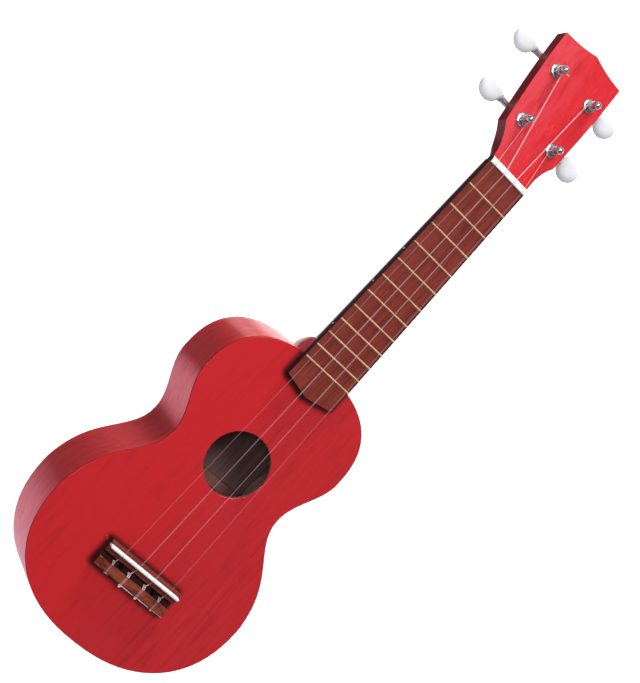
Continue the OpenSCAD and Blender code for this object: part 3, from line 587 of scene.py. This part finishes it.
# Strings: tied at the bridge, over saddle and nut, wound on the posts; millimetres until they become meshes
def route(corners, eases, steps=8):
    """Straight runs between the corners, each corner eased over its distance on both sides."""
    points = [corners[0]]
    for i in range(1, len(corners) - 1):
        corner, ease = corners[i], eases[i]
        before = corner + ease * (corners[i - 1] - corner).normalized()
        after = corner + ease * (corners[i + 1] - corner).normalized()
        for j in range(steps + 1):
            t = j / steps
            points.append((1 - t) * (1 - t) * before + 2 * t * (1 - t) * corner + t * t * after)
    return points + [corners[-1]]


def knot(x, thick, tail):
    """Back through the tie block, over it, under the standing string and over the block to the tail."""
    off = thick / 2 + CLEARANCE
    near = thick / 2 + 0.06
    far = thick / 2 + 0.5
    return [Vector(point) for point in (
        (x + near + tail, TAIL_Y - off, TIE_Z - 1.2),
        (x + near, TAIL_Y - off, TIE_Z - 1.2),
        (x + near, TAIL_Y - off, TIE_Z + off),
        (x + near, TIE_Y + off, TIE_Z + off),
        (x + far, TIE_Y + 1.9, BORE_Z + 1.2),
        (x + far, TIE_Y + 2.3, BORE_Z + 0.05),
        (x - far, TIE_Y + 2.3, BORE_Z + 0.05),
        (x - far, TIE_Y + 1.9, BORE_Z + 1.2),
        (x - near, TIE_Y + off, TIE_Z + off),
        (x - near, TAIL_Y - off, TIE_Z + off),
        (x, TAIL_Y - off - 0.5, BORE_Z),
        (x, TIE_Y - 0.6, BORE_Z),
    )]


# How far each corner of the knot is eased
KNOT_EASES = [0, 0.5, 0.5, 0.7, 0.5, 0.5, 0.5, 0.5, 0.7, 0.6, 0.7, 0.5]


def lump(x, thick, turns, steps=40):
    """Turns of the tail round itself, behind the tie block."""
    radius = 0.8 * thick
    middle = Vector((x, TAIL_Y - radius - thick / 2 - 0.1, TIE_Z - 0.9))
    points = []
    for k in range(steps + 1):
        a = 2 * math.pi * turns * k / steps
        shift = turns * thick * (k / steps - 0.5)
        points.append(middle + Vector((shift, radius * math.cos(a), radius * math.sin(a))))
    return points


def tube(name, points, radius, body, finish, sides=10):
    """Round solid cord along points, its frames carried along without twist."""
    last = len(points) - 1
    runs = [(points[min(i + 1, last)] - points[max(i - 1, 0)]).normalized() for i in range(last + 1)]
    side = runs[0].orthogonal().normalized()
    verts = []
    for point, run in zip(points, runs):
        side = (side - run * side.dot(run)).normalized()
        other = run.cross(side)
        for j in range(sides):
            a = 2 * math.pi * j / sides
            verts.append((point + radius * (math.cos(a) * side + math.sin(a) * other)) * MM)
    faces = []
    for i in range(last):
        for j in range(sides):
            low, k = i * sides, (j + 1) % sides
            faces.append((low + j, low + k, low + sides + k, low + sides + j))
    faces.append(tuple(range(sides))[::-1])
    faces.append(tuple(range(last * sides, (last + 1) * sides)))
    mesh = bpy.data.meshes.new(name)
    mesh.from_pydata(verts, [], faces)
    mesh.polygons.foreach_set("use_smooth", [len(face) == 4 for face in faces])
    mesh.materials.append(FINISH[finish])
    piece = bpy.data.objects.new(name, mesh)
    scene.collection.objects.link(piece)
    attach(piece, body)
    return piece


def add_string(number, letter):
    """A string, by its number from the bass side: its cord, the lump of its knot and its end in the post."""
    thick = THICK[letter]
    side = -1 if number < 2 else 1
    finish = "nylon_thick" if letter in "ce" else "nylon_thin"
    joint = joints["post_" + letter + "_turn"]
    foot = Vector(joint["pos_m"]) / MM
    rise = Vector(joint["axis"])
    across = Vector((1, 0, 0))
    along = rise.cross(across)
    crest = SADDLE_R + thick / 2 + SADDLE_GAP
    bend = crest * math.tan(SADDLE_BEND)
    x = (number - 1.5) * SADDLE_PITCH + SADDLE_MIDDLE
    saddle = Vector((x, SADDLE_Y - bend, SADDLE_Z - SADDLE_R + crest))
    nut = Vector(((number - 1.5) * NUT_PITCH + NUT_MIDDLE, NUT_TOUCH, NUT_Z + thick / 2))
    radius = WAIST_R + thick / 2 + CLEARANCE
    sideways = (foot - nut).dot(across)
    onward = (foot - nut).dot(along)
    tangent = math.asin(radius / math.hypot(sideways, onward)) + math.pi / 2
    first = math.atan2(onward, sideways) + side * tangent

    def wound(angle):
        """Point of the winding, angle past the place where the string meets the post."""
        turn = first - side * angle
        height = WIND_START + (thick + WIND_GAP) * angle / (2 * math.pi)
        return foot + radius * (math.cos(turn) * across + math.sin(turn) * along) + height * rise

    corners = knot(x, thick, TAIL[letter]) + [saddle, nut, wound(0)]
    points = route(corners, KNOT_EASES + [bend, NUT_EASE, 0])
    points += [wound(2 * math.pi * WIND_TURNS * k / WIND_STEPS) for k in range(1, WIND_STEPS + 1)]
    cord = tube("cord_" + letter, points, thick / 2 - CORD_SHY, "instrument", finish)
    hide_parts("string_" + letter)
    if letter in LUMP_TURNS:
        twists = lump(x + LUMP_SHIFT, thick, LUMP_TURNS[letter])
        tube("knot_" + letter, twists, thick / 2, "instrument", finish)
    reach = END_REACH[letter]
    stub = ((1.6, 0.1), (0, 0.1), (-1.8, 0.12), (-2.7, 0.25), (1 - reach, 0.3), (-reach, 0.6))
    end = [foot + side * out * across + (HOLE_HEIGHT + lift) * rise for out, lift in stub]
    tube("cord_end_" + letter, end, thick / 2, "post_" + letter, finish)


# Stage
FLOOR_REACH = 9.0
FLOOR_DROP = 0.0002


def add_floor():
    material, _, bsdf, _ = start("floor")
    bsdf.inputs["Base Color"].default_value = (0.9, 0.9, 0.9, 1)
    bsdf.inputs["Roughness"].default_value = 0.9
    bsdf.inputs["Specular IOR Level"].default_value = 0.0
    bsdf.inputs["Emission Color"].default_value = (1, 1, 1, 1)
    bsdf.inputs["Emission Strength"].default_value = 0.7
    mesh = bpy.data.meshes.new("floor")
    corners = [(x * FLOOR_REACH, y * FLOOR_REACH, 0) for x, y in ((-1, -1), (1, -1), (1, 1), (-1, 1))]
    mesh.from_pydata(corners, [], [(0, 1, 2, 3)])
    mesh.materials.append(material)
    floor = bpy.data.objects.new("floor", mesh)
    floor.location.z = -FLOOR_DROP
    floor.visible_glossy = False
    floor.visible_diffuse = False
    scene.collection.objects.link(floor)


def softbox(name, place, aim, size, power, mirrored=True):
    """A rectangular lamp; one that is not mirrored lights the lacquer without a glare in it."""
    data = bpy.data.lights.new(name, "AREA")
    data.shape = "RECTANGLE"
    data.size, data.size_y = size
    data.energy = power
    lamp = bpy.data.objects.new(name, data)
    lamp.location = place
    lamp.visible_glossy = mirrored
    lamp.rotation_euler = (Vector(aim) - Vector(place)).to_track_quat("-Z", "Y").to_euler()
    scene.collection.objects.link(lamp)


def add_world():
    """A dim room, brighter round the horizon.

    Under it the head end, the tail end and three smaller places glow, which bands the glossy sides.
    """
    world = bpy.data.worlds.new("studio")
    world.use_nodes = True
    tree = world.node_tree
    look = add(tree, "SeparateXYZ", Vector=add(tree, "TexCoord").outputs["Generated"])

    def unit(socket):
        return add(tree, "Math", {"operation": "MULTIPLY_ADD"}, i0=socket, i1=0.5, i2=0.5).outputs[0]

    x, y, z = (unit(socket) for socket in look.outputs)
    room = grey(tree, z, [(0.0, 0.05), (0.46, 0.08), (0.52, 0.45), (0.75, 0.36), (0.93, 0.10)])
    ends = grey(tree, y, [(0.36, 1.0), (0.465, 0.0), (0.62, 0.0), (0.78, 0.9)])
    side = math_node(
        tree, "MULTIPLY", grey(tree, x, [(0.50, 0.0), (0.63, 2.4)]),
        grey(tree, y, [(0.495, 0.0), (0.545, 1.0), (0.62, 1.0), (0.68, 0.2)]),
    )
    shoulder = math_node(
        tree, "MULTIPLY", grey(tree, x, [(0.43, 0.0), (0.465, 1.0), (0.51, 1.0), (0.56, 0.0)]),
        grey(tree, y, [(0.64, 0.0), (0.66, 1.2)]),
    )
    under = grey(tree, z, [(0.0, 0.9), (0.004, 0.9), (0.012, 0.0)])
    glow = math_node(tree, "MAXIMUM", ends, side)
    glow = math_node(tree, "MAXIMUM", glow, math_node(tree, "MAXIMUM", shoulder, under))
    glow = math_node(tree, "MULTIPLY", glow, grey(tree, z, [(0.40, 1.0), (0.5, 0.0)]))
    lilac = mix(tree, 1.0, glow, (1.0, 0.92, 1.12), "MULTIPLY")
    glow = mix(tree, grey(tree, y, [(0.45, 1.0), (0.5, 0.0)]), glow, lilac)
    tree.links.new(mix(tree, 1.0, room, glow, "ADD"), tree.nodes["Background"].inputs["Color"])
    scene.world = world


def add_lamps():
    softbox("bank", (-0.15, 1.3, 1.95), (0, 0.05, 0.05), (1.1, 1.0), 34)
    softbox("front", (-0.62, 0.12, 1.35), (0, 0.04, 0.05), (0.3, 0.3), 2.8)
    softbox("head_side", (-0.35, 2.1, 0.35), (0, 0.05, 0.03), (0.7, 0.5), 42, False)
    softbox("tail_side", (-0.6, -1.1, 0.55), (0, 0.0, 0.03), (0.6, 0.5), 4, False)
    scene.view_settings.view_transform = "Standard"
    scene.view_settings.look = "None"


add_camera()
dress_all()
for number, letter in enumerate(STRINGS):
    add_string(number, letter)
add_floor()
add_world()
add_lamps()
